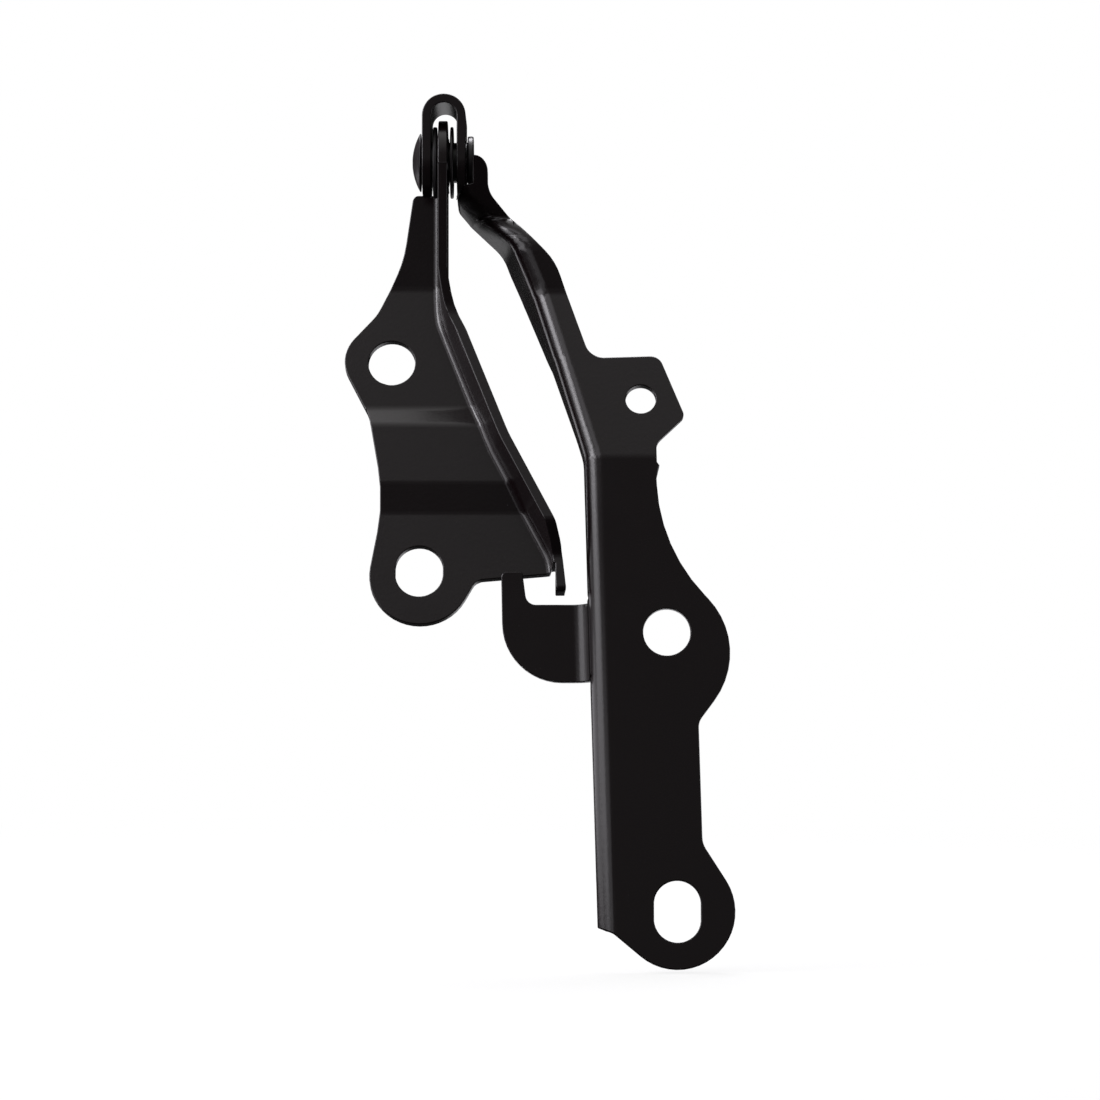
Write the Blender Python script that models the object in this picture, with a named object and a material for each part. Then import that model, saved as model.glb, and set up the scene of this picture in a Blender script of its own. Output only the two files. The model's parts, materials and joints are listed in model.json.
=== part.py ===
"""Bonnet hinge for a car: two pressed steel brackets that swing on one riveted pivot.

The body bracket carries a folded clevis and a stop hook, the hood bracket a pivot lug and a
raised land. Each bracket is modelled as its press tool sees it: x across, h up and w towards
the viewer, in millimetres from the pivot axis, which lies along x. The finished bracket is
then leaned back about the pivot. The object's own frame is in metres, +Z up, with its
origin on the body bracket's mounting face.
"""

import math

import bmesh
import bpy
from mathutils import Matrix, Vector

MM = 0.001

# Sheet and clearances
SHEET = 2.2
BEND_SEGMENTS = 7
FLANGE_STEP = 4.0
ARC_STEP = 8.0
DOME_STEPS = 8
ROUND_SEGMENTS = 40
FIT_GAP = 0.3
NEST = 0.05
OVERSHOOT = 6.0
PAST = 260.0

# Pivot stack, along x from the middle of the clevis
CLEVIS_INSIDE = 5.9
CLEVIS_TOP = 15.0
CLEVIS_LEAN = 4.0
EAR_RADIUS = 8.2
LUG_RADIUS = 9.8
LUG_FACE = 0.8
PIN_RADIUS = 4.7
PIN_HEAD_RADIUS = 6.2
PIN_HEAD_THICKNESS = 1.4
FORMED_HEAD_RADIUS = 6.9
FORMED_HEAD_RISE = 1.9
BUSH_WALL = 0.7
THRUST_RADIUS = 8.4
BUSH_FLANGE_THICKNESS = 0.95
WASHER_THICKNESS = 0.7
RIM_BREAK = 0.2

# Body bracket: its front face from the top down is a lip, a step, a neck, a shoulder and a plate
BODY_LEAN = 9.0
BODY_BEND_RADIUS = 2.2
BODY_TOP = -0.9
LIP_FRONT = 11.2
LIP_LEAN = -41.5
LIP_LEFT = 7.0
LIP_RIGHT = 10.3
LIP_ROOT = -(PIN_HEAD_RADIUS + FIT_GAP)
STEP_LEAN = 48.0
NECK_LEAN = -9.0
SHOULDER_LEAN = 11.0
VALLEY_HEIGHT = -13.3
STEP_END = -17.31
NECK_END = -31.6
SHOULDER_END = -71.9
BODY_BOLT_HOLE = (51.4, -112.6)
BODY_BOLT_DIAMETER = 10.8
BOLT_LOBE_RADIUS = 18.2
BODY_SLOT = (53.5, -176.1)
SLOT_WIDTH = 10.6
SLOT_LENGTH = 14.0
SLOT_LOBE_RADIUS = 13.05
BODY_LOWEST = BODY_SLOT[1] - SLOT_LOBE_RADIUS
LOCATING_HOLE = (45.7, -58.0)
LOCATING_DIAMETER = 7.0
# The right edge below the lip, as (x, h, radius): the arm, the locating tab and the nib under it
BODY_RIGHT_CORNERS = ((LIP_RIGHT, -8.0, 5.0), (26.1, -24.5, 15.0), (34.1, -47.9, 4.5),
                      (50.0, -47.4, 3.0), (55.9, -62.3, 2.0), (49.2, -68.8, 3.0),
                      (49.3, -73.2, 0.3), (49.9, -74.0, 0.3), (49.2, -77.0, 0.5))
LIP_CORNER_RADIUS = 3.2
MOUNT_POINT = (52.4, -144.1)
FLANGE_LOWEST = -170.5
# Where the flange turns, seen from the front: (h, x of its outer face, radius)
BODY_FLANGE_TURNS = ((-9.3, CLEVIS_INSIDE / 2, 3.0), (-19.4, 15.3, 10.0), (-30.5, 20.0, 40.0),
                     (-48.0, 25.7, 40.0), (-71.5, 32.6, 10.0))
BODY_FLANGE_FOOT = 36.1
BODY_FLARE_BY_HEIGHT = ((OVERSHOOT, 0.0), (-8.6, 0.0), (-13.0, 6.3), (-31.0, 5.2), (-47.0, 0.0),
                        (-PAST, 0.0))
BODY_FLARE_ROOT = 4.0
FLANGE_BACK = -17.5
# The back edge of that flange below the ear, as (w, h, radius)
FLANGE_BACK_CORNERS = ((FLANGE_BACK + 0.5, -23.0, 6.0), (FLANGE_BACK, -46.0, 8.0))
EAR_NECK_HEIGHT = -7.0
EAR_NECK_RADIUS = 6.0
NARROW_DEPTH = 7.9
NARROW_HEIGHT = -67.0
NARROW_RADIUS = 8.0

# Stop hook, folded off the back edge of the body bracket's flange
HOOK_TOP = -105.1
HOOK_BOTTOM = -123.1
HOOK_BEND_RADIUS = 3.8
HOOK_CORNER_RADIUS = 13.9
FINGER_TOP = -97.4
FINGER_LEFT = 13.5
FINGER_WIDTH = 4.9
STOP_CLEARANCE = 0.35
HOOK_LAP = 0.55
RELIEF_WIDTH = 2.2

# Hood bracket
HOOD_LEAN = 18.5
HOOD_BEND_RADIUS = 1.6
HOOD_TOP = -4.0
HOOD_NECK_FRONT = -9.8
HOOD_NECK_LEAN = -18.5
HOOD_NECK_END = -25.2
LAND_RISE = 2.1
LAND_TOP = -57.6
LAND_TOP_RUN = 4.7
LAND_BOTTOM = -77.8
LAND_BOTTOM_RUN = 7.0
LAND_BEND_RADIUS = 4.0
HOOD_PLATE_LOW = -96.7
FLANGE_FLARE = 11.0
HOOD_FLARE_BY_HEIGHT = ((OVERSHOOT, 0.0), (-26.0, 0.0), (-40.0, FLANGE_FLARE),
                        (-PAST, FLANGE_FLARE))
# Where the flange turns, seen from the front: (h, x of its outer face, radius)
HOOD_FLANGE_TURNS = ((-32.5, LUG_FACE, 24.0), (-65.5, 13.6, 30.0), (-92.2, 27.2, 12.0))
HOOD_FLANGE_FOOT = 30.2
FLANGE_HEIGHT = 12.0
FLANGE_SHOULDER = -87.0
TAB_HEIGHT = 5.6
TAB_TOP = -93.0
TAB_BOTTOM = -101.8
TAB_BACK = 1.0
TAB_LEFT = 26.0
UPPER_HOOD_HOLE = (-12.5, -43.8)
UPPER_HOOD_DIAMETER = 11.0
LOWER_HOOD_SLOT = (-5.5, -95.4)
LOWER_SLOT_WIDTH = 11.0
LOWER_SLOT_LENGTH = 12.2
UPPER_LOBE_RADIUS = 8.5
LOWER_LOBE_RADIUS = 11.85


def clear_scene():
    for thing in list(bpy.data.objects):
        bpy.data.objects.remove(thing, do_unlink=True)


def material(name, colour, roughness, metallic):
    made = bpy.data.materials.new(name)
    made.use_nodes = True
    shader = made.node_tree.nodes["Principled BSDF"]
    shader.inputs["Base Color"].default_value = (*colour, 1.0)
    shader.inputs["Roughness"].default_value = roughness
    shader.inputs["Metallic"].default_value = metallic
    return made


def rounded(corners, closed=True):
    """A path through corners (a, b, radius), with each corner turned into an arc."""
    path = []
    count = len(corners)
    for index, (a, b, radius) in enumerate(corners):
        here = Vector((a, b))
        if radius <= 0 or (not closed and index in (0, count - 1)):
            path.append(here)
            continue
        before = Vector(corners[index - 1][:2]) - here
        after = Vector(corners[(index + 1) % count][:2]) - here
        before.normalize()
        after.normalize()
        half = before.angle(after) / 2
        reach = radius / math.tan(half)
        centre = here + (before + after).normalized() * radius / math.sin(half)
        start = here + before * reach - centre
        turn = start.angle_signed(here + after * reach - centre)
        steps = max(2, math.ceil(abs(turn) / math.radians(ARC_STEP)))
        for step in range(steps + 1):
            spoke = start.copy()
            spoke.rotate(Matrix.Rotation(-turn * step / steps, 2))
            path.append(centre + spoke)
    return path


def lobe(centre, radius, before, after):
    """Corners of a clockwise outline that run from one corner, round a lobe, to the next.

    before and after are (across, up, corner radius), with both distances as shares of radius.
    """
    middle = Vector(centre)
    ends = [Vector(corner[:2]) * radius for corner in (before, after)]
    touches = []
    for end, side in zip(ends, (-1, 1)):
        swing = side * math.acos(radius / end.length)
        touches.append(math.atan2(end.y, end.x) + swing)
    turn = (touches[0] - touches[1]) % (2 * math.pi)
    steps = math.ceil(turn / math.radians(ARC_STEP))
    corners = [(*(middle + ends[0]), before[2])]
    for step in range(steps + 1):
        angle = touches[0] - turn * step / steps
        corners.append((middle.x + radius * math.cos(angle), middle.y + radius * math.sin(angle), 0.0))
    corners.append((*(middle + ends[1]), after[2]))
    return tuple(corners)


def profile_at(path, height):
    """Reads a path of (height, offset) points at a height: the offset and its slope there."""
    for (top, first), (bottom, second) in zip(path, path[1:]):
        if height >= bottom or bottom == path[-1][0]:
            slope = (second - first) / (bottom - top)
            return first + slope * (height - top), slope
    raise ValueError("an empty path")


def leaning_profile(start_height, start_offset, runs):
    """A side profile of straight runs: (lowest height, lean in degrees, radius below it)."""
    corners = [(start_height, start_offset, 0.0)]
    for low, lean, radius in runs:
        high, offset, _ = corners[-1]
        corners.append((low, offset + (high - low) * math.tan(math.radians(lean)), radius))
    return corners


def new_object(name, mesh_data, owner=None):
    mesh = bpy.data.meshes.new(name)
    bmesh.ops.recalc_face_normals(mesh_data, faces=mesh_data.faces)
    mesh_data.to_mesh(mesh)
    mesh_data.free()
    made = bpy.data.objects.new(name, mesh)
    bpy.context.scene.collection.objects.link(made)
    made.parent = owner
    return made


def tube_of_rings(name, rings, owner=None):
    """Skins closed rings of points, one ring after the other, and closes both ends."""
    shape = bmesh.new()
    rows = [[shape.verts.new(Vector(point) * MM) for point in ring] for ring in rings]
    count = len(rows[0])
    for upper, lower in zip(rows, rows[1:]):
        for index in range(count):
            after = (index + 1) % count
            shape.faces.new((upper[index], upper[after], lower[after], lower[index]))
    shape.faces.new(rows[0])
    shape.faces.new(rows[-1])
    return new_object(name, shape, owner)


def front_prism(name, outline, owner):
    """An outline of (x, h) points, extruded through the sheet."""
    rings = [[(x, side * PAST, h) for x, h in outline] for side in (-1, 1)]
    return tube_of_rings(name, rings, owner)


def side_prism(name, outline, left, right, owner):
    """An outline of (w, h) points, extruded across the bracket."""
    rings = [[(x, -w, h) for w, h in outline] for x in (left, right)]
    return tube_of_rings(name, rings, owner)


def circle_at(x, radius):
    angles = [2 * math.pi * step / ROUND_SEGMENTS for step in range(ROUND_SEGMENTS)]
    return [(x, radius * math.cos(a), radius * math.sin(a)) for a in angles]


def turned_ring(name, profile, owner):
    """A closed profile of (x, radius) points, turned about the pivot axis into a ring."""
    shape = bmesh.new()
    rows = []
    for x, radius in profile:
        rows.append([shape.verts.new(Vector(point) * MM) for point in circle_at(x, radius)])
    for one, other in zip(rows, rows[1:] + rows[:1]):
        for index in range(ROUND_SEGMENTS):
            after = (index + 1) % ROUND_SEGMENTS
            shape.faces.new((one[index], one[after], other[after], other[index]))
    return new_object(name, shape, owner)


def pivot_cylinder(name, radius, left, right, owner):
    angles = [2 * math.pi * step / ROUND_SEGMENTS for step in range(ROUND_SEGMENTS)]
    circle = [(radius * math.cos(a), radius * math.sin(a)) for a in angles]
    return side_prism(name, circle, left, right, owner)


def boolean(target, operand, operation):
    modifier = target.modifiers.new(operand.name, "BOOLEAN")
    modifier.operation = operation
    modifier.solver = "EXACT"
    modifier.object = operand
    operand.hide_render = True
    operand.display_type = "WIRE"


def formed_sheet(name, face, edge, rows, web_side, flange_side, bend_radius, reach, owner,
                 flare=((0.0, 0.0), (-1.0, 0.0)), flare_root=0.0, thickness=SHEET,
                 face_inside=False):
    """An L of sheet, drawn row by row from the top down.

    face gives the web's face outside the bend, or inside it with face_inside, and edge the
    flange's outer face, both by height. web_side is +1 where the web runs to +x, and
    flange_side +1 where the flange runs away from the viewer. flare opens the flange by
    some degrees, also by height, from where w is flare_root. reach is how far the flange
    stands from the web, in steps short enough to turn a flare without a kink.
    """
    rings = []
    outside = bend_radius + thickness
    steps = math.ceil(reach / FLANGE_STEP)
    shares = [step / steps for step in range(1, steps + 1)]
    for height in rows:
        w, lean = profile_at(face, height)
        x, slope = profile_at(edge, height)
        deep = math.hypot(1.0, lean)
        wide = math.hypot(1.0, slope)
        web_y = -w - (flange_side * thickness * deep if face_inside else 0.0)
        centre_x = x + web_side * outside * wide
        centre_y = web_y + flange_side * outside * deep
        open_angle = math.radians(profile_at(flare, height)[0])
        last = math.pi / 2 - open_angle
        angles = [last * step / BEND_SEGMENTS for step in range(BEND_SEGMENTS + 1)]

        def on_bend(radius, angle):
            return (centre_x - web_side * radius * wide * math.sin(angle),
                    centre_y - flange_side * radius * deep * math.cos(angle), height)

        end_y = web_y + flange_side * reach
        splay = math.tan(open_angle) * (flange_side * (end_y + flare_root) - outside)

        def on_flange(inset, share):
            _, bend_y, _ = on_bend(outside, last)
            bend_splay = splay - math.tan(open_angle) * flange_side * (end_y - bend_y)
            across = inset * wide / math.cos(open_angle) - bend_splay
            across -= (splay - bend_splay) * share
            return (x + web_side * across, bend_y + (end_y - bend_y) * share, height)

        far_x = x + web_side * PAST
        ring = [(far_x, web_y, height)]
        ring += [on_bend(outside, angle) for angle in angles]
        ring += [on_flange(0.0, share) for share in shares]
        ring += [on_flange(thickness, share) for share in reversed(shares)]
        ring += [on_bend(bend_radius, angle) for angle in reversed(angles)]
        ring += [(far_x, web_y + flange_side * thickness * deep, height)]
        rings.append(ring)
    return tube_of_rings(name, rings, owner)


def row_heights(top, bottom, *paths):
    """Every height at which one of the paths bends, between the top row and the bottom row."""
    heights = {round(point[0], 3) for path in paths for point in path}
    inside = sorted((h for h in heights if bottom + 0.1 < h < top - 0.1), reverse=True)
    rows = [top]
    for height in inside:
        if rows[-1] - height > 0.08:
            rows.append(height)
    rows.append(bottom)
    return rows


def hole(owner, name, place, width, length, face):
    """A round hole or an upright slot, punched square to the sheet where it lies."""
    x, h = place
    w, slope = profile_at(face, h)
    radius = width / 2
    straight = (length - width) / 2
    outline = []
    for step in range(ROUND_SEGMENTS):
        angle = 2 * math.pi * (step + 0.5) / ROUND_SEGMENTS
        shift = math.copysign(straight, math.sin(angle))
        outline.append((radius * math.cos(angle), radius * math.sin(angle) + shift))
    rings = [[(a, side * OVERSHOOT, b) for a, b in outline] for side in (-1, 1)]
    cutter = tube_of_rings(name, rings, owner)
    cutter.location = Vector((x, -w, h)) * MM
    cutter.rotation_euler = (math.atan(slope), 0.0, 0.0)
    boolean(owner, cutter, "DIFFERENCE")


def leaned(point, degrees):
    """A press-frame point (w, h) as (w, h) in the upright frame."""
    w, h = point
    angle = math.radians(degrees)
    return (w * math.cos(angle) - h * math.sin(angle), w * math.sin(angle) + h * math.cos(angle))


def body_face():
    """The body bracket's front face, as (height, w)."""
    runs = ((VALLEY_HEIGHT, LIP_LEAN, 0.8), (STEP_END, STEP_LEAN, 9.4), (NECK_END, NECK_LEAN, 6.0),
            (SHOULDER_END, SHOULDER_LEAN, 8.0), (-PAST, 0.0, 0.0))
    return rounded(leaning_profile(BODY_TOP, LIP_FRONT, runs), closed=False)


def body_edge():
    """The outer face of the body bracket's flange, as (height, x)."""
    ear = CLEVIS_INSIDE / 2
    corners = ((OVERSHOOT, ear, 0.0), *BODY_FLANGE_TURNS,
               (BODY_LOWEST - 2 * OVERSHOOT, BODY_FLANGE_FOOT, 0.0))
    return rounded(corners, closed=False)


def hood_face():
    """The hood plate's front face, as (height, w)."""
    runs = ((HOOD_NECK_END, HOOD_NECK_LEAN, 6.0),
            (LAND_TOP + LAND_TOP_RUN / 2, 0.0, LAND_BEND_RADIUS))
    corners = leaning_profile(HOOD_TOP, HOOD_NECK_FRONT, runs)
    plate = corners[-1][1]
    corners += [(LAND_TOP - LAND_TOP_RUN / 2, plate + LAND_RISE, LAND_BEND_RADIUS),
                (LAND_BOTTOM + LAND_BOTTOM_RUN / 2, plate + LAND_RISE, LAND_BEND_RADIUS),
                (LAND_BOTTOM - LAND_BOTTOM_RUN / 2, plate, LAND_BEND_RADIUS), (-PAST, plate, 0.0)]
    return rounded(corners, closed=False)


def hood_edge():
    """The outer face of the hood bracket's flange, as (height, x)."""
    corners = ((OVERSHOOT, LUG_FACE, 0.0), *HOOD_FLANGE_TURNS,
               (TAB_BOTTOM - 3 * OVERSHOOT, HOOD_FLANGE_FOOT, 0.0))
    return rounded(corners, closed=False)


def hook_back(plate_front):
    """Where the back of the stop hook lies, just in front of the closed hood plate."""
    low_edge = leaned((plate_front, HOOD_PLATE_LOW), HOOD_LEAN)
    return leaned(low_edge, -BODY_LEAN)[0] + STOP_CLEARANCE


def body_front_outline():
    """The body bracket's trimmed edge as the press tool sees it, as (x, h)."""
    bolt_x, bolt_h = BODY_BOLT_HOLE
    bolt_lobe = lobe((bolt_x - 3.8, bolt_h - 4.7), BOLT_LOBE_RADIUS, (0.13, 1.32, 40.0),
                     (0.6, -0.87, 4.0))
    slot_lobe = lobe(BODY_SLOT, SLOT_LOBE_RADIUS, (0.44, 1.17, 5.0), (-1.111, -0.375, 3.0))
    foot = FLANGE_LOWEST - 8.4
    corners = (
        (-OVERSHOOT, BODY_TOP, 0.0), (LIP_RIGHT, BODY_TOP, LIP_CORNER_RADIUS),
        *BODY_RIGHT_CORNERS, *bolt_lobe, *slot_lobe,
        (BODY_FLANGE_FOOT - SHEET, foot, 0.0), (-OVERSHOOT, foot, 0.0),
    )
    return rounded(corners)


def body_side_outline(plate):
    """The free edge of the body bracket's flange, seen from the side, as (w, h)."""
    bend_end = plate - SHEET - BODY_BEND_RADIUS - NEST
    hook_edge = bend_end - HOOK_LAP
    narrow = bend_end - NARROW_DEPTH
    behind_ear = -EAR_RADIUS - FIT_GAP
    corners = (
        (PAST, PAST, 0.0), (behind_ear, PAST, 0.0),
        (behind_ear, EAR_NECK_HEIGHT, EAR_NECK_RADIUS), *FLANGE_BACK_CORNERS,
        (narrow, NARROW_HEIGHT, NARROW_RADIUS),
        (narrow, HOOK_TOP + RELIEF_WIDTH, 1.0), (bend_end, HOOK_TOP + RELIEF_WIDTH, 0.8),
        (bend_end, HOOK_TOP - NEST, 0.0), (hook_edge, HOOK_TOP - NEST, 0.0),
        (hook_edge, HOOK_BOTTOM + NEST, 0.0),
        (bend_end - 4.3, HOOK_BOTTOM - 1.5, 1.0), (bend_end - 1.9, FLANGE_LOWEST + 2.0, 2.0),
        (bend_end, FLANGE_LOWEST, 0.0), (bend_end, -PAST, 0.0), (PAST, -PAST, 0.0),
    )
    return rounded(corners)


def hook_outline():
    """The stop hook's cut edge as the press tool sees it, as (x, h)."""
    right = FINGER_LEFT + FINGER_WIDTH
    corners = (
        (PAST, HOOK_TOP, 0.0), (right + 1.0, HOOK_TOP, 2.4), (right, FINGER_TOP, 0.6),
        (FINGER_LEFT, FINGER_TOP, 1.3), (FINGER_LEFT + 0.5, HOOK_BOTTOM, HOOK_CORNER_RADIUS),
        (PAST, HOOK_BOTTOM, 0.0),
    )
    return rounded(corners)


def clevis_strap(owner):
    """The strap that carries on from the flange, over the pivot and down as the left ear."""
    inside = CLEVIS_INSIDE / 2 + NEST
    outside = CLEVIS_INSIDE / 2 + SHEET - NEST
    middle = CLEVIS_TOP - outside
    low = -EAR_RADIUS - OVERSHOOT
    steps = round(math.pi / math.radians(ARC_STEP))
    turns = [math.pi * step / steps for step in range(steps + 1)]
    outline = [(outside, low)]
    outline += [(outside * math.cos(t), middle + outside * math.sin(t)) for t in turns]
    outline += [(-outside, low), (-inside, low)]
    outline += [(inside * math.cos(t), middle + inside * math.sin(t)) for t in reversed(turns)]
    outline += [(inside, low)]
    strap = front_prism("clevis_strap_cutter", outline, owner)
    strap.rotation_euler = (math.radians(BODY_LEAN - CLEVIS_LEAN), 0.0, 0.0)
    ear = rounded(((EAR_RADIUS, CLEVIS_TOP + OVERSHOOT, 0.0),
                   (EAR_RADIUS, -EAR_RADIUS, EAR_RADIUS - 0.01),
                   (-EAR_RADIUS, -EAR_RADIUS, EAR_RADIUS - 0.01),
                   (-EAR_RADIUS, CLEVIS_TOP + OVERSHOOT, 0.0)))
    boolean(strap, side_prism("clevis_side_cutter", ear, -PAST, PAST, strap), "INTERSECT")
    return strap


def free_the_lip(bracket):
    """Cuts the lip clear of the ear and trims the flange beside it round the ear."""
    face = CLEVIS_INSIDE / 2 + SHEET
    slot = rounded(((face + NEST, OVERSHOOT, 0.0), (LIP_LEFT, OVERSHOOT, 0.0),
                    (LIP_LEFT, LIP_ROOT, 0.8), (face + NEST, LIP_ROOT, 0.3)))
    boolean(bracket, front_prism("lip_slot_cutter", slot, bracket), "DIFFERENCE")
    radius = EAR_RADIUS - 2 * NEST
    root = LIP_ROOT - 3 * NEST
    low = math.asin(root / radius)
    steps = math.ceil(-low / math.radians(ARC_STEP))
    angles = [low * (1 - step / steps) for step in range(steps + 1)]
    beside = [(radius * math.cos(a), radius * math.sin(a)) for a in angles]
    beside += [(radius, OVERSHOOT), (PAST, OVERSHOOT), (PAST, root)]
    trim = side_prism("ear_front_cutter", beside, -OVERSHOOT, face + 2 * NEST, bracket)
    boolean(bracket, trim, "DIFFERENCE")


def stop_hook(owner, plate):
    """The tab that bends off the flange's back edge and catches the hood plate."""
    back = hook_back(profile_at(hood_face(), HOOD_PLATE_LOW)[0])
    bend_end = plate - SHEET - BODY_BEND_RADIUS
    face = ((0.0, back + NEST), (-1.0, back + NEST))
    edge = [(height, x + SHEET - NEST) for height, x in body_edge()]
    rows = row_heights(FINGER_TOP + OVERSHOOT, HOOK_BOTTOM - OVERSHOOT, edge)
    hook = formed_sheet("stop_hook_cutter", face, edge, rows, -1, -1, HOOK_BEND_RADIUS,
                        bend_end + HOOK_LAP / 2 - back, owner, thickness=SHEET - 2 * NEST)
    boolean(hook, front_prism("hook_outline_cutter", hook_outline(), hook), "INTERSECT")
    return hook


def body_bracket(pivot, steel):
    face = body_face()
    edge = body_edge()
    plate = profile_at(face, MOUNT_POINT[1])[0]
    rows = row_heights(BODY_TOP + 2.0, BODY_LOWEST - OVERSHOOT, face, edge, BODY_FLARE_BY_HEIGHT)
    reach = plate - FLANGE_BACK + 2 * OVERSHOOT
    bracket = formed_sheet("body_bracket", face, edge, rows, 1, 1, BODY_BEND_RADIUS, reach, pivot,
                           flare=BODY_FLARE_BY_HEIGHT, flare_root=BODY_FLARE_ROOT)
    bracket.rotation_euler = (-math.radians(BODY_LEAN), 0.0, 0.0)
    outline = front_prism("body_outline_cutter", body_front_outline(), bracket)
    boolean(bracket, outline, "INTERSECT")
    side = side_prism("body_side_cutter", body_side_outline(plate), -PAST, PAST, bracket)
    boolean(bracket, side, "INTERSECT")
    free_the_lip(bracket)
    boolean(bracket, clevis_strap(bracket), "UNION")
    boolean(bracket, stop_hook(bracket, plate), "UNION")
    ear = CLEVIS_INSIDE / 2 + SHEET
    pin_hole = pivot_cylinder("body_pin_cutter", PIN_RADIUS + FIT_GAP, -ear - 1.0, ear + 1.0,
                              bracket)
    boolean(bracket, pin_hole, "DIFFERENCE")
    hole(bracket, "body_bolt_cutter", BODY_BOLT_HOLE, BODY_BOLT_DIAMETER, BODY_BOLT_DIAMETER, face)
    hole(bracket, "body_slot_cutter", BODY_SLOT, SLOT_WIDTH, SLOT_LENGTH, face)
    hole(bracket, "locating_cutter", LOCATING_HOLE, LOCATING_DIAMETER, LOCATING_DIAMETER, face)
    bracket.data.materials.append(steel)
    return bracket


def hood_front_outline():
    """The hood bracket's trimmed edge as the press tool sees it, as (x, h)."""
    upper_x, upper_h = UPPER_HOOD_HOLE
    lower_x, lower_h = LOWER_HOOD_SLOT
    lower_lobe = lobe((lower_x + 0.3, lower_h - 1.0), LOWER_LOBE_RADIUS, (1.089, -0.101, 3.0),
                      (-0.743, 1.553, 45.0))
    upper_lobe = lobe((upper_x - 2.6, upper_h + 0.5), UPPER_LOBE_RADIUS, (-0.306, -1.612, 10.0),
                      (-0.118, 1.376, 12.0))
    below_tab = TAB_BOTTOM - OVERSHOOT
    corners = (
        (PAST, HOOD_TOP, 0.0), (PAST, below_tab, 0.0), (TAB_LEFT, below_tab, 0.0),
        (TAB_LEFT, HOOD_PLATE_LOW + 1.6, 0.3), (TAB_LEFT - 0.9, HOOD_PLATE_LOW + 1.6, 0.3),
        (TAB_LEFT - 1.2, HOOD_PLATE_LOW + 0.6, 0.3), *lower_lobe, *upper_lobe,
        (-9.9, -18.5, 25.0), (-7.6, HOOD_TOP, 1.5),
    )
    return rounded(tuple(reversed(corners)))


def hood_side_outline(plate):
    """The free edge of the hood bracket's flange, seen from the side, as (w, h)."""
    start = math.asin(-HOOD_TOP / LUG_RADIUS)
    tangent_w = LUG_RADIUS * math.cos(start)
    fall = math.tan(start)
    free = plate + FLANGE_HEIGHT
    meets = HOOD_TOP - (tangent_w - free) / fall
    tab = plate + TAB_HEIGHT
    corners = (
        (-PAST, OVERSHOOT, 0.0), (tangent_w + fall * (OVERSHOOT - HOOD_TOP), OVERSHOOT, 0.0),
        (free, meets, 8.0), (free, FLANGE_SHOULDER, 2.5), (tab, TAB_TOP, 2.5),
        (tab, TAB_BOTTOM, 1.2), (plate + TAB_BACK, TAB_BOTTOM, 0.0),
        (plate + TAB_BACK, -PAST, 0.0), (-PAST, -PAST, 0.0),
    )
    return rounded(corners)


def hood_bracket(pivot, steel):
    face = hood_face()
    edge = hood_edge()
    plate = profile_at(face, HOOD_PLATE_LOW)[0]
    rows = row_heights(HOOD_TOP + 2.0, TAB_BOTTOM - 2 * OVERSHOOT, face, edge,
                       HOOD_FLARE_BY_HEIGHT)
    reach = LUG_RADIUS - plate + 2 * OVERSHOOT
    bracket = formed_sheet("hood_bracket", face, edge, rows, -1, -1, HOOD_BEND_RADIUS, reach,
                           pivot, flare=HOOD_FLARE_BY_HEIGHT, flare_root=plate,
                           face_inside=True)
    bracket.rotation_euler = (-math.radians(HOOD_LEAN), 0.0, 0.0)
    outline = front_prism("hood_outline_cutter", hood_front_outline(), bracket)
    boolean(bracket, outline, "INTERSECT")
    side = side_prism("hood_side_cutter", hood_side_outline(plate), -PAST, PAST, bracket)
    boolean(bracket, side, "INTERSECT")
    behind_tab = ((plate + TAB_BACK, HOOD_PLATE_LOW), (plate - 2 * OVERSHOOT, HOOD_PLATE_LOW),
                  (plate - 2 * OVERSHOOT, -PAST), (plate + TAB_BACK, -PAST))
    tab_cutter = side_prism("tab_cutter", behind_tab, TAB_LEFT - 3.0, PAST, bracket)
    boolean(bracket, tab_cutter, "DIFFERENCE")
    lug = pivot_cylinder("lug_cutter", LUG_RADIUS, LUG_FACE - SHEET + NEST, LUG_FACE - NEST,
                         bracket)
    boolean(bracket, lug, "UNION")
    bore = PIN_RADIUS + FIT_GAP + BUSH_WALL + FIT_GAP
    lug_hole = pivot_cylinder("lug_bore_cutter", bore, -OVERSHOOT, OVERSHOOT, bracket)
    boolean(bracket, lug_hole, "DIFFERENCE")
    hole(bracket, "hood_upper_cutter", UPPER_HOOD_HOLE, UPPER_HOOD_DIAMETER, UPPER_HOOD_DIAMETER,
         face)
    hole(bracket, "hood_lower_cutter", LOWER_HOOD_SLOT, LOWER_SLOT_WIDTH, LOWER_SLOT_LENGTH, face)
    bracket.data.materials.append(steel)
    return bracket


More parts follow.
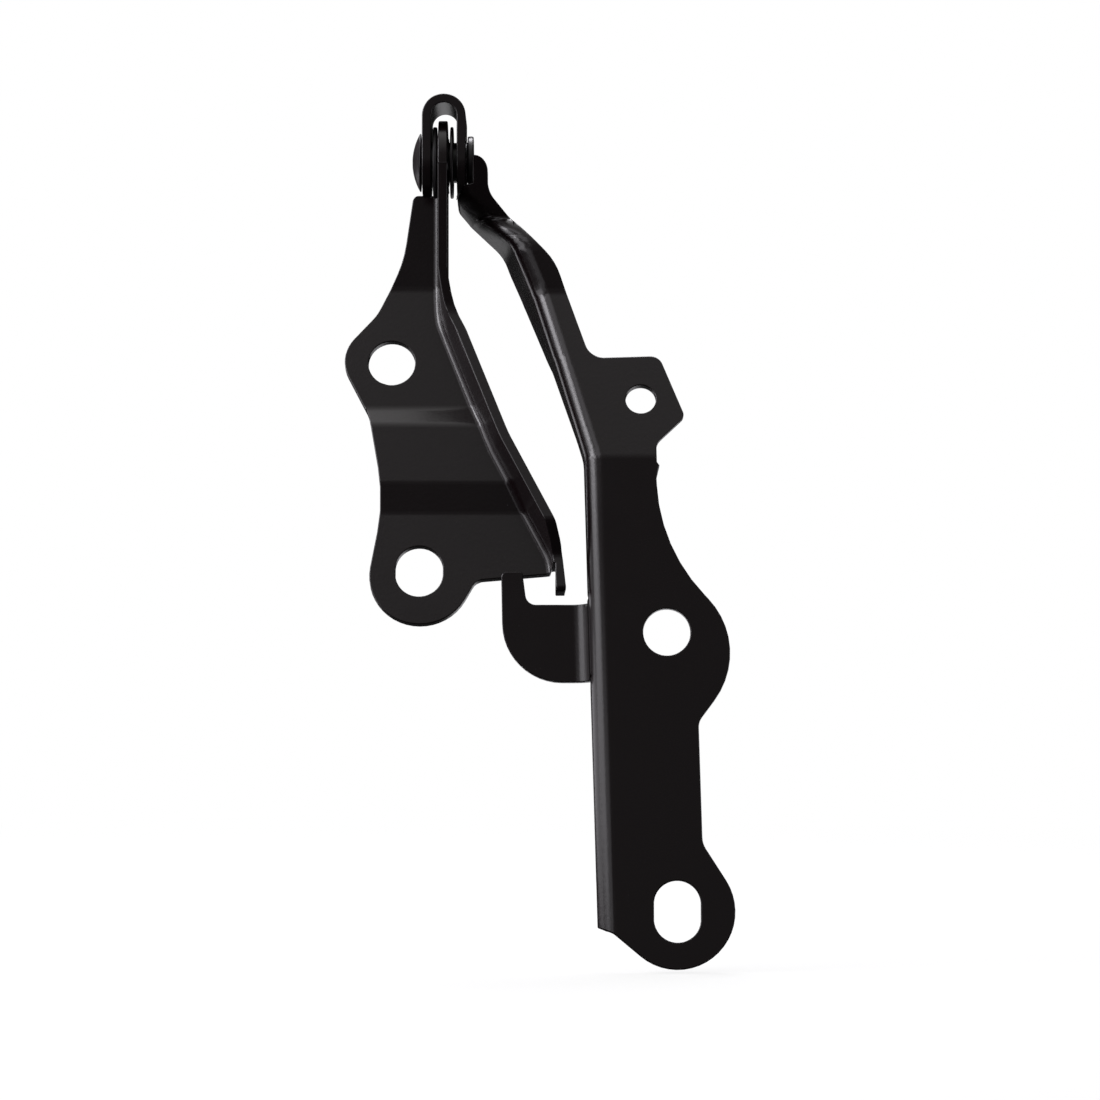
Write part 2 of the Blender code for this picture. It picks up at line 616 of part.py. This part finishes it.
def pivot_rivet(pivot, steel):
    """The shouldered pin: a flat head on the right and a formed, domed end on the left."""
    ear = CLEVIS_INSIDE / 2 + SHEET + FIT_GAP
    dome = (FORMED_HEAD_RADIUS ** 2 + FORMED_HEAD_RISE ** 2) / (2 * FORMED_HEAD_RISE)
    rim = -ear - RIM_BREAK
    profile = []
    for step in range(1, DOME_STEPS + 1):
        radius = FORMED_HEAD_RADIUS * math.sin(math.pi / 2 * step / DOME_STEPS)
        rise = math.sqrt(dome ** 2 - radius ** 2) - (dome - FORMED_HEAD_RISE)
        profile.append((rim - rise, radius))
    profile += [(-ear, FORMED_HEAD_RADIUS - RIM_BREAK), (-ear, PIN_RADIUS), (ear, PIN_RADIUS)]
    head_end = ear + PIN_HEAD_THICKNESS
    profile += [(ear, PIN_HEAD_RADIUS - RIM_BREAK), (ear + RIM_BREAK, PIN_HEAD_RADIUS),
                (head_end - RIM_BREAK, PIN_HEAD_RADIUS), (head_end, PIN_HEAD_RADIUS - RIM_BREAK)]
    rivet = tube_of_rings("pivot_rivet", [circle_at(x, r) for x, r in profile], pivot)
    rivet.data.materials.append(steel)
    return rivet


def flanged_bush(pivot, plastic):
    """The bush that lines the lug, with its flange against the left ear."""
    left = -CLEVIS_INSIDE / 2 + FIT_GAP
    flange = left + BUSH_FLANGE_THICKNESS
    bore = PIN_RADIUS + FIT_GAP
    barrel = bore + BUSH_WALL
    right = LUG_FACE + FIT_GAP
    profile = [(left, bore), (left, THRUST_RADIUS - RIM_BREAK),
               (left + RIM_BREAK, THRUST_RADIUS), (flange - RIM_BREAK, THRUST_RADIUS),
               (flange, THRUST_RADIUS - RIM_BREAK), (flange, barrel), (right, barrel),
               (right, bore)]
    bush = turned_ring("flanged_bush", profile, pivot)
    bush.data.materials.append(plastic)
    return bush


def thrust_washer(pivot, steel):
    left = LUG_FACE + 2 * FIT_GAP
    right = left + WASHER_THICKNESS
    bore = PIN_RADIUS + FIT_GAP
    profile = [(left, bore), (left, THRUST_RADIUS), (right, THRUST_RADIUS), (right, bore)]
    washer = turned_ring("thrust_washer", profile, pivot)
    washer.data.materials.append(steel)
    return washer


def main():
    clear_scene()
    coated_steel = material("black_coated_steel", (0.012, 0.011, 0.012), 0.38, 0.0)
    rivet_steel = material("black_rivet_steel", (0.015, 0.014, 0.015), 0.42, 0.6)
    bush_plastic = material("black_bush_plastic", (0.018, 0.018, 0.018), 0.55, 0.0)
    mount_x, mount_h = MOUNT_POINT
    mount_w = profile_at(body_face(), mount_h)[0]
    depth, height = leaned((mount_w, mount_h), BODY_LEAN)
    pivot = bpy.data.objects.new("pivot_axis", None)
    bpy.context.scene.collection.objects.link(pivot)
    pivot.location = Vector((-mount_x, depth, -height)) * MM
    body_bracket(pivot, coated_steel)
    hood_bracket(pivot, coated_steel)
    pivot_rivet(pivot, rivet_steel)
    flanged_bush(pivot, bush_plastic)
    thrust_washer(pivot, rivet_steel)
    for thing in bpy.data.objects:
        if thing.type == "MESH" and not thing.hide_render:
            thing.data.shade_smooth()
            thing.data.set_sharp_from_angle(angle=math.radians(30.0))


main()
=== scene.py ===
"""Looks of the bonnet hinge: black dip-coated steel on a pale studio floor."""

import json
import math

import bpy
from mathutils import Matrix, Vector


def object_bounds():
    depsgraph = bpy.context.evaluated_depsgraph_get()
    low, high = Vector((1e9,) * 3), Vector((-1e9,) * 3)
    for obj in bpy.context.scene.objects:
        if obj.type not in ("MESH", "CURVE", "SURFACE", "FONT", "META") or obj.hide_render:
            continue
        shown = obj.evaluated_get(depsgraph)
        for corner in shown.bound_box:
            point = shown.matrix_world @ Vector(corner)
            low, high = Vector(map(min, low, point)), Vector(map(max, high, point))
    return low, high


# The photograph: its size, the pixel that the pivot axis shows at, and metres to a pixel there
PHOTO_SIZE = 1100
PIVOT_PIXEL = (444.6, 163.0)
PIXEL = 0.000235
CAMERA_DISTANCE = 0.9
SENSOR = 36.0

CLIP_START = 0.01

# Edges of the cut sheet, and the angles that tell a cut edge and a flat face from a bend
WELD_GAP = 0.00001
EDGE_ROUND = 0.00025
EDGE_SEGMENTS = 3
SHARP_ANGLE = math.radians(35.0)
FLAT_ANGLE = math.radians(0.6)
NORMAL_WEIGHT = 90

# The coats, as colour, roughness, depth of peel and amount of dust
STEEL_COAT = ((0.0052, 0.0026, 0.0031), 0.22, 0.10, 0.5)
RIVET_COAT = ((0.0080, 0.0056, 0.0062), 0.34, 0.12, 0.3)
NYLON_COAT = ((0.0150, 0.0142, 0.0150), 0.55, 0.20, 0.2)
COAT_IOR = 1.5
GLOSS_SPREAD = 0.05
PEEL_DISTANCE = 0.0002
DUST_COLOUR = (0.10, 0.095, 0.10, 1.0)
# A speck's rim and heart in its cell, and the patches of noise in which specks lie
SPECK = (0.10, 0.04)
DUST_PATCH = (0.60, 0.72)

# How much of the white ground the dark coat mirrors
MIRRORED = 0.01

# The floor: its edges, and how far it lies under the part
FLOOR_SIDE = 0.7
FLOOR_FRONT = -0.6
FLOOR_BACK = 1.2
FLOOR_DROP = 0.0005
FLOOR_COLOUR = (0.82, 0.82, 0.82, 1.0)
FLOOR_ROUGHNESS = 0.9
FLOOR_SPECULAR = 0.1
# To the camera: how much of it is plain white, and between which distances it turns all white
FLOOR_WHITE = 0.8
FLOOR_FADE = (0.2, 0.5)
# To other rays: dark in front, pale behind to the right, as measured along LIT_WAY
FLOOR_DARK = (0.02, 0.02, 0.02, 1.0)
FLOOR_PALE = (0.6, 0.6, 0.6, 1.0)
LIT_WAY = (1.5, 1.0, 0.0)
FLOOR_BEHIND = (0.12, 0.3)

# Each softbox: name, height above the pivot, degrees from the camera's side to the left, degrees
# of rise, distance, size and radiance
LIGHT_COLOUR = (0.97, 0.95, 1.0)
SOFTBOXES = (
    ("high_softbox", 0.40, 98.0, 0.0, 0.55, (0.44, 0.28), 9.0),
    ("high_wing", 0.34, 38.0, 0.0, 0.58, (0.46, 0.3), 1.3),
    ("left_softbox", 0.17, 72.0, 0.0, 0.55, (0.32, 0.2), 9.0),
    ("left_wall", -0.02, 62.0, 0.0, 0.55, (0.42, 0.2), 2.5),
    ("front_wing", -0.08, 28.0, 0.0, 0.6, (0.26, 0.24), 0.7),
    ("low_strip", -0.14, 112.0, 0.0, 0.5, (0.6, 0.18), 1.6),
    ("right_strip", -0.12, -95.0, 0.0, 0.5, (0.7, 0.2), 1.6),
    ("back_softbox", 0.0, 180.0, 65.0, 0.6, (0.4, 0.25), 11.0),
)

# The room: its strength in front and at the back, between which shares of the way back it
# fades, and the share of that strength at each height in degrees
CEILING = 1.2
BACK_LEVEL = 0.1
BACK_FADE = (0.35, 0.75)
ROOM_BY_HEIGHT = ((0.0, 0.04), (4.0, 0.09), (14.0, 0.14), (22.0, 0.08), (38.0, 0.31), (60.0, 0.60),
                  (90.0, 1.0))


def node(tree, kind, **inputs):
    """A shader node with its inputs set by name."""
    made = tree.nodes.new(kind)
    for name, value in inputs.items():
        made.inputs[name.replace("_", " ")].default_value = value
    return made


def ramp_between(tree, value, low, high, start=0.0, end=1.0):
    """A value mapped from low..high to start..end."""
    made = node(tree, "ShaderNodeMapRange")
    made.inputs["From Min"].default_value = low
    made.inputs["From Max"].default_value = high
    made.inputs["To Min"].default_value = start
    made.inputs["To Max"].default_value = end
    tree.links.new(value, made.inputs["Value"])
    return made


def combined(tree, operation, first, second):
    """Two values in one Math node. The second is an output or a plain number."""
    made = node(tree, "ShaderNodeMath")
    made.operation = operation
    tree.links.new(first, made.inputs[0])
    if isinstance(second, float):
        made.inputs[1].default_value = second
    else:
        tree.links.new(second, made.inputs[1])
    return made.outputs["Value"]


def mixed(tree, share, first, second):
    """Two shaders mixed by a share of the second."""
    made = node(tree, "ShaderNodeMixShader")
    tree.links.new(share, made.inputs["Fac"])
    tree.links.new(first, made.inputs[1])
    tree.links.new(second, made.inputs[2])
    return made.outputs["Shader"]


def dip_coat(name, colour, roughness, peel, dust):
    """A slightly uneven semi-gloss black film, with fine peel and a little dust on it."""
    made = bpy.data.materials.new(name)
    made.use_nodes = True
    tree = made.node_tree
    shader = tree.nodes["Principled BSDF"]
    shader.inputs["IOR"].default_value = COAT_IOR
    link = tree.links.new
    place = node(tree, "ShaderNodeTexCoord").outputs["Object"]

    blotch = node(tree, "ShaderNodeTexNoise", Scale=90.0, Detail=4.0, Roughness=0.6)
    link(place, blotch.inputs["Vector"])
    gloss = ramp_between(tree, blotch.outputs["Fac"], 0.0, 1.0, roughness - GLOSS_SPREAD,
                         roughness + GLOSS_SPREAD)
    link(gloss.outputs["Result"], shader.inputs["Roughness"])

    specks = node(tree, "ShaderNodeTexVoronoi", Scale=620.0)
    link(place, specks.inputs["Vector"])
    speck = ramp_between(tree, specks.outputs["Distance"], *SPECK)
    scatter = node(tree, "ShaderNodeTexNoise", Scale=60.0, Detail=2.0)
    link(place, scatter.inputs["Vector"])
    rare = ramp_between(tree, scatter.outputs["Fac"], *DUST_PATCH)
    both = combined(tree, "MULTIPLY", speck.outputs["Result"], rare.outputs["Result"])
    tint = node(tree, "ShaderNodeMix")
    tint.data_type = "RGBA"
    tint.inputs[6].default_value = (*colour, 1.0)
    tint.inputs[7].default_value = DUST_COLOUR
    link(combined(tree, "MULTIPLY", both, dust), tint.inputs[0])
    link(tint.outputs[2], shader.inputs["Base Color"])

    grain = node(tree, "ShaderNodeTexNoise", Scale=1100.0, Detail=3.0, Roughness=0.55)
    link(place, grain.inputs["Vector"])
    bump = node(tree, "ShaderNodeBump", Strength=peel, Distance=PEEL_DISTANCE)
    link(grain.outputs["Fac"], bump.inputs["Height"])
    link(bump.outputs["Normal"], shader.inputs["Normal"])
    return made


def finish_edges(obj):
    """Joins the flat faces of a CAD node, rounds its cut edges and smooths its bends."""
    weld = obj.modifiers.new("weld", "WELD")
    weld.merge_threshold = WELD_GAP
    flats = obj.modifiers.new("flats", "DECIMATE")
    flats.decimate_type = "DISSOLVE"
    flats.angle_limit = FLAT_ANGLE
    bevel = obj.modifiers.new("edge", "BEVEL")
    bevel.width = EDGE_ROUND
    bevel.segments = EDGE_SEGMENTS
    bevel.limit_method = "ANGLE"
    bevel.angle_limit = SHARP_ANGLE
    bevel.use_clamp_overlap = False
    obj.data.shade_smooth()
    weighted = obj.modifiers.new("shading", "WEIGHTED_NORMAL")
    weighted.mode = "FACE_AREA"
    weighted.weight = NORMAL_WEIGHT
    weighted.keep_sharp = False


def white_seen(tree):
    """How much of the white ground a ray sees: the camera all of it, the dark coat a little."""
    path = node(tree, "ShaderNodeLightPath")
    mirrored = combined(tree, "MULTIPLY", path.outputs["Is Glossy Ray"], MIRRORED)
    direct = combined(tree, "MAXIMUM", path.outputs["Is Camera Ray"],
                      path.outputs["Is Transmission Ray"])
    return combined(tree, "MAXIMUM", direct, mirrored)


def floor_material():
    """A pale floor that the camera sees as white, apart from the object's shadow."""
    made = bpy.data.materials.new("floor")
    made.use_nodes = True
    tree = made.node_tree
    link = tree.links.new
    place = node(tree, "ShaderNodeNewGeometry").outputs["Position"]

    pale = tree.nodes["Principled BSDF"]
    pale.inputs["Base Color"].default_value = FLOOR_COLOUR
    pale.inputs["Roughness"].default_value = FLOOR_ROUGHNESS
    pale.inputs["Specular IOR Level"].default_value = FLOOR_SPECULAR
    white = node(tree, "ShaderNodeEmission", Color=(1.0, 1.0, 1.0, 1.0), Strength=1.0)
    away = node(tree, "ShaderNodeVectorMath")
    away.operation = "LENGTH"
    link(place, away.inputs[0])
    fade = ramp_between(tree, away.outputs["Value"], *FLOOR_FADE, FLOOR_WHITE, 1.0)
    fade.interpolation_type = "SMOOTHSTEP"
    seen = mixed(tree, fade.outputs["Result"], pale.outputs["BSDF"], white.outputs["Emission"])

    dark = node(tree, "ShaderNodeBsdfDiffuse", Color=FLOOR_DARK)
    lit = node(tree, "ShaderNodeBsdfDiffuse", Color=FLOOR_PALE)
    along = node(tree, "ShaderNodeVectorMath")
    along.operation = "DOT_PRODUCT"
    along.inputs[1].default_value = LIT_WAY
    link(place, along.inputs[0])
    behind = ramp_between(tree, along.outputs["Value"], *FLOOR_BEHIND)
    unseen = mixed(tree, behind.outputs["Result"], dark.outputs["BSDF"], lit.outputs["BSDF"])

    link(mixed(tree, white_seen(tree), unseen, seen),
         tree.nodes["Material Output"].inputs["Surface"])
    return made


def plane(name, corners, material):
    """A flat part of the set, not part of the object."""
    mesh = bpy.data.meshes.new(name)
    mesh.from_pydata(corners, [], [tuple(range(len(corners)))])
    mesh.materials.append(material)
    made = bpy.data.objects.new(name, mesh)
    bpy.context.scene.collection.objects.link(made)


def softbox(name, centre, around, rise, distance, size, radiance):
    """An area light that faces centre: around is in degrees from the camera's side to the left."""
    around, rise = math.radians(around), math.radians(rise)
    flat = math.cos(rise)
    towards = Vector((-math.sin(around) * flat, -math.cos(around) * flat, math.sin(rise)))
    lamp = bpy.data.lights.new(name, "AREA")
    lamp.shape = "RECTANGLE"
    lamp.size, lamp.size_y = size
    lamp.energy = radiance * math.pi * size[0] * size[1]
    lamp.color = LIGHT_COLOUR
    made = bpy.data.objects.new(name, lamp)
    made.location = centre + towards * distance
    made.rotation_euler = (-towards).to_track_quat("-Z", "Y").to_euler()
    bpy.context.scene.collection.objects.link(made)


def world_light():
    """A dim studio with a bright ceiling and a dark back, all white to the camera."""
    world = bpy.data.worlds.new("studio")
    bpy.context.scene.world = world
    world.use_nodes = True
    tree = world.node_tree
    link = tree.links.new
    way = node(tree, "ShaderNodeSeparateXYZ")
    link(node(tree, "ShaderNodeTexCoord").outputs["Generated"], way.inputs["Vector"])
    height = node(tree, "ShaderNodeValToRGB")
    link(way.outputs["Z"], height.inputs["Fac"])
    ramp = height.color_ramp
    while len(ramp.elements) < len(ROOM_BY_HEIGHT):
        ramp.elements.new(1.0)
    for element, (rise, level) in zip(ramp.elements, ROOM_BY_HEIGHT):
        element.position = math.sin(math.radians(rise))
        element.color = (level, level, level, 1.0)
    fade = ramp_between(tree, way.outputs["Y"], *BACK_FADE, CEILING, BACK_LEVEL)
    room = tree.nodes["Background"]
    link(height.outputs["Color"], room.inputs["Color"])
    link(fade.outputs["Result"], room.inputs["Strength"])
    white = node(tree, "ShaderNodeBackground", Color=(1.0, 1.0, 1.0, 1.0), Strength=1.0)
    link(mixed(tree, white_seen(tree), room.outputs["Background"], white.outputs["Background"]),
         tree.nodes["World Output"].inputs["Surface"])


def camera(pivot):
    """Looks along +Y, with the pivot axis at its pixel of the photograph."""
    data = bpy.data.cameras.new("camera")
    data.sensor_width = SENSOR
    data.lens = SENSOR * CAMERA_DISTANCE / (PHOTO_SIZE * PIXEL)
    data.clip_start = CLIP_START
    made = bpy.data.objects.new("camera", data)
    across = (PHOTO_SIZE / 2 - PIVOT_PIXEL[0]) * PIXEL
    down = (PHOTO_SIZE / 2 - PIVOT_PIXEL[1]) * PIXEL
    made.location = pivot + Vector((across, -CAMERA_DISTANCE, -down))
    made.rotation_euler = (math.pi / 2, 0.0, 0.0)
    bpy.context.scene.collection.objects.link(made)
    bpy.context.scene.camera = made


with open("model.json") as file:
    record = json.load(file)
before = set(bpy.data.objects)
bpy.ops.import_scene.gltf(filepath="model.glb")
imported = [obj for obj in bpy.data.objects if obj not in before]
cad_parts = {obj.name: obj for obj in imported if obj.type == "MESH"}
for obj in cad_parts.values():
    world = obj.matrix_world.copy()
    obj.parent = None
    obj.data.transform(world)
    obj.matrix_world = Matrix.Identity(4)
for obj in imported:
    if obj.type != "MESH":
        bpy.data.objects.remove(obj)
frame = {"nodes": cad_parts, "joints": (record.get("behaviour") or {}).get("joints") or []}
cad_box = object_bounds()
nodes = frame["nodes"]
pivot = Vector(frame["joints"][0]["pos_m"])

steel = dip_coat("black_dip_coat", *STEEL_COAT)
rivet = dip_coat("rivet_dip_coat", *RIVET_COAT)
nylon = dip_coat("bush_nylon", *NYLON_COAT)
for name, coat in (("body_bracket", steel), ("hood_bracket", steel), ("pivot_rivet", rivet),
                   ("flanged_bush", nylon), ("thrust_washer", rivet)):
    obj = nodes[name]
    obj.data.materials.clear()
    obj.data.materials.append(coat)
    finish_edges(obj)

ground = cad_box[0][2] - FLOOR_DROP
plane("floor", [(-FLOOR_SIDE, FLOOR_FRONT, ground), (FLOOR_SIDE, FLOOR_FRONT, ground),
                (FLOOR_SIDE, FLOOR_BACK, ground), (-FLOOR_SIDE, FLOOR_BACK, ground)],
      floor_material())
for name, height, *setting in SOFTBOXES:
    softbox(name, pivot + Vector((0.0, 0.0, height)), *setting)
world_light()
camera(pivot)

scene = bpy.context.scene
scene.view_settings.view_transform = "Standard"
